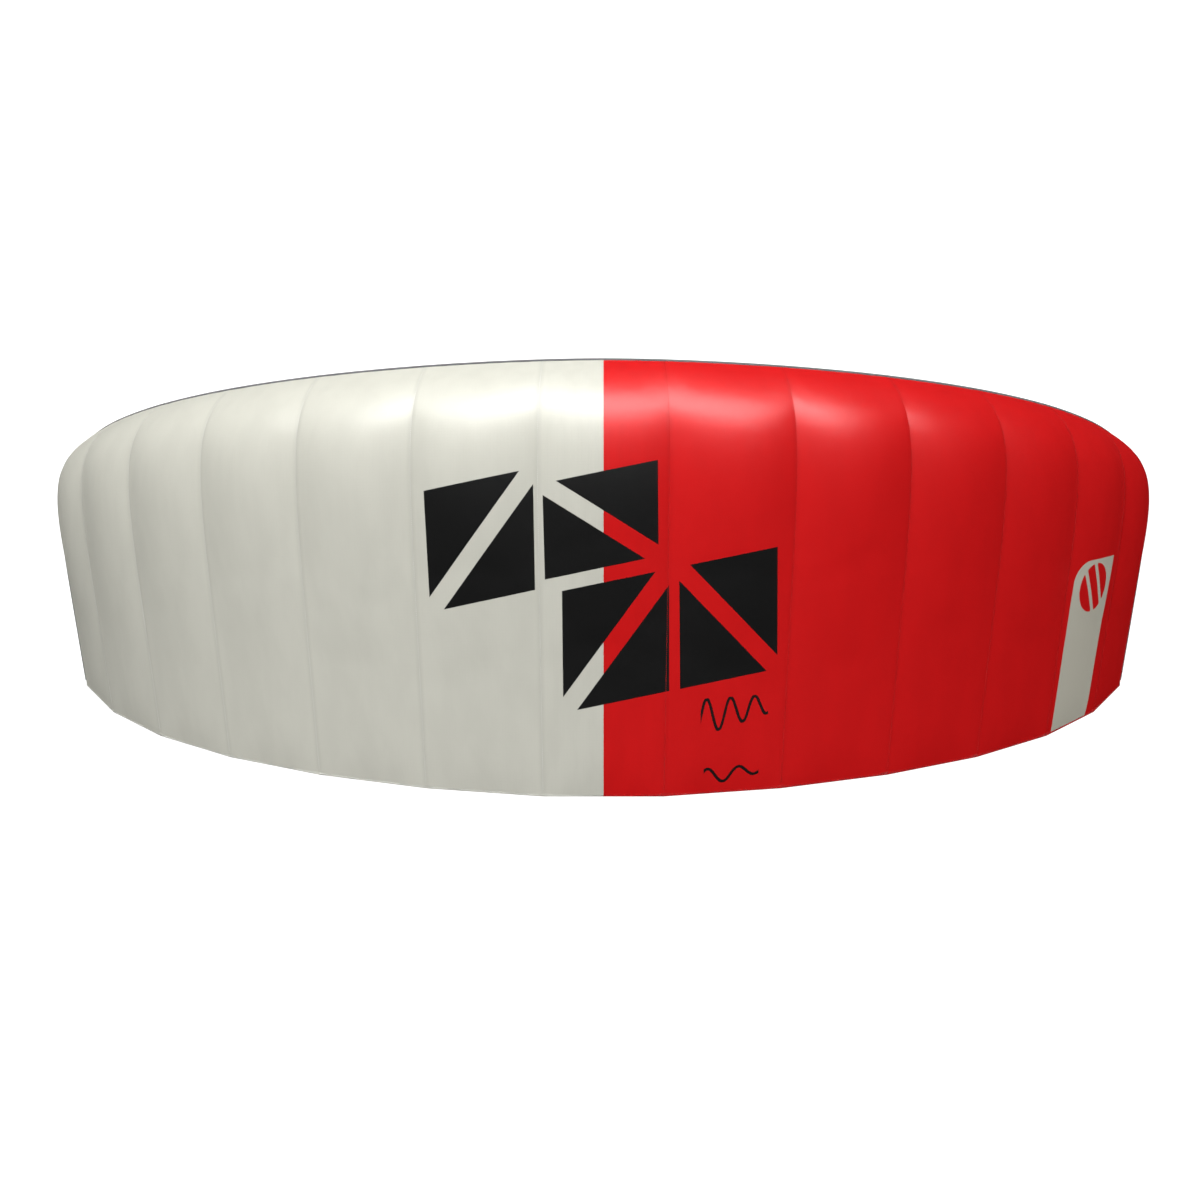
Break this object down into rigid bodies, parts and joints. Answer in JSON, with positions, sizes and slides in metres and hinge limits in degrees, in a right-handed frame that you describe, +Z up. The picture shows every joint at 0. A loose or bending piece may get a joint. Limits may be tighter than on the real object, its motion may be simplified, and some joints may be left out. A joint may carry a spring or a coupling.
{
  "type": "ram-air foil kite",
  "caption": "Inflated ram-air foil kite wing: closed arch of fabric cells between ribs, half white and half red, with intake nets, hem tapes and webbing bridle loops.",
  "frame": {"origin": "middle of the wing's footprint, on the surface that its two tips stand on", "axes": "+X to the wing's right (the red half), +Y forward towards the leading edge, +Z up, out of the arch's crown"},
  "size_m": [1.8488, 0.6964, 0.7193],
  "materials": {
    "upper_white": "semi-gloss coated ripstop",
    "upper_red": "semi-gloss coated ripstop",
    "lower_cloth": "semi-gloss coated ripstop",
    "rib_cloth": "satin, firm resin finish",
    "intake_net": "open mesh, matte",
    "hem_tape": "matte woven tape",
    "webbing": "matte woven webbing"
  },
  "bodies": {
    "centre": {"rib_05": "rib_cloth", "rib_06": "rib_cloth", "rib_07": "rib_cloth", "rib_08": "rib_cloth", "rib_09": "rib_cloth", "rib_10": "rib_cloth", "upper_panel_05": "upper_white", "lower_panel_05": "lower_cloth", "upper_panel_06": "upper_white", "lower_panel_06": "lower_cloth", "upper_panel_07_white": "upper_white", "upper_panel_07_red": "upper_red", "lower_panel_07": "lower_cloth", "upper_panel_08": "upper_red", "lower_panel_08": "lower_cloth", "upper_panel_09": "upper_red", "lower_panel_09": "lower_cloth", "bridle_tape_05": "webbing", "bridle_tape_07": "webbing", "bridle_tape_08": "webbing", "bridle_tape_10": "webbing", "intake_net_centre": "intake_net", "hem_tape_centre": "hem_tape"},
    "left_mid": {"rib_03": "rib_cloth", "rib_04": "rib_cloth", "upper_panel_03": "upper_white", "lower_panel_03": "lower_cloth", "upper_panel_04": "upper_white", "lower_panel_04": "lower_cloth", "bridle_tape_03": "webbing", "intake_net_left_mid": "intake_net", "hem_tape_left_mid": "hem_tape"},
    "left_tip": {"rib_01": "rib_cloth", "rib_02": "rib_cloth", "upper_panel_01": "upper_white", "lower_panel_01": "lower_cloth", "upper_panel_02": "upper_white", "lower_panel_02": "lower_cloth", "bridle_tape_01": "webbing", "intake_net_left_tip": "intake_net", "hem_tape_left_tip": "hem_tape"},
    "right_mid": {"rib_11": "rib_cloth", "rib_12": "rib_cloth", "upper_panel_10": "upper_red", "lower_panel_10": "lower_cloth", "upper_panel_11": "upper_red", "lower_panel_11": "lower_cloth", "bridle_tape_12": "webbing", "intake_net_right_mid": "intake_net", "hem_tape_right_mid": "hem_tape"},
    "right_tip": {"rib_13": "rib_cloth", "rib_14": "rib_cloth", "upper_panel_12": "upper_red", "lower_panel_12": "lower_cloth", "upper_panel_13": "upper_red", "lower_panel_13": "lower_cloth", "bridle_tape_14": "webbing", "intake_net_right_tip": "intake_net", "hem_tape_right_tip": "hem_tape"}
  },
  "joints": [
    {"name": "left_inner_flex", "type": "hinge", "parent": "centre", "child": "left_mid", "pos_m": [-0.4673, 0, 0.52888], "axis": [0, -1, 0], "range_deg": [-10, 6], "stiffness_Nm_per_rad": 60},
    {"name": "left_outer_flex", "type": "hinge", "parent": "left_mid", "child": "left_tip", "pos_m": [-0.74435, 0, 0.29501], "axis": [0, -1, 0], "range_deg": [-10, 6], "stiffness_Nm_per_rad": 60},
    {"name": "right_inner_flex", "type": "hinge", "parent": "centre", "child": "right_mid", "pos_m": [0.4673, 0, 0.52888], "axis": [0, 1, 0], "range_deg": [-10, 6], "stiffness_Nm_per_rad": 60},
    {"name": "right_outer_flex", "type": "hinge", "parent": "right_mid", "child": "right_tip", "pos_m": [0.74435, 0, 0.29501], "axis": [0, 1, 0], "range_deg": [-10, 6], "stiffness_Nm_per_rad": 60}
  ],
  "couplings": [
    {"joint": "left_outer_flex", "follows": "left_inner_flex", "ratio": 1},
    {"joint": "right_outer_flex", "follows": "right_inner_flex", "ratio": 1}
  ]
}
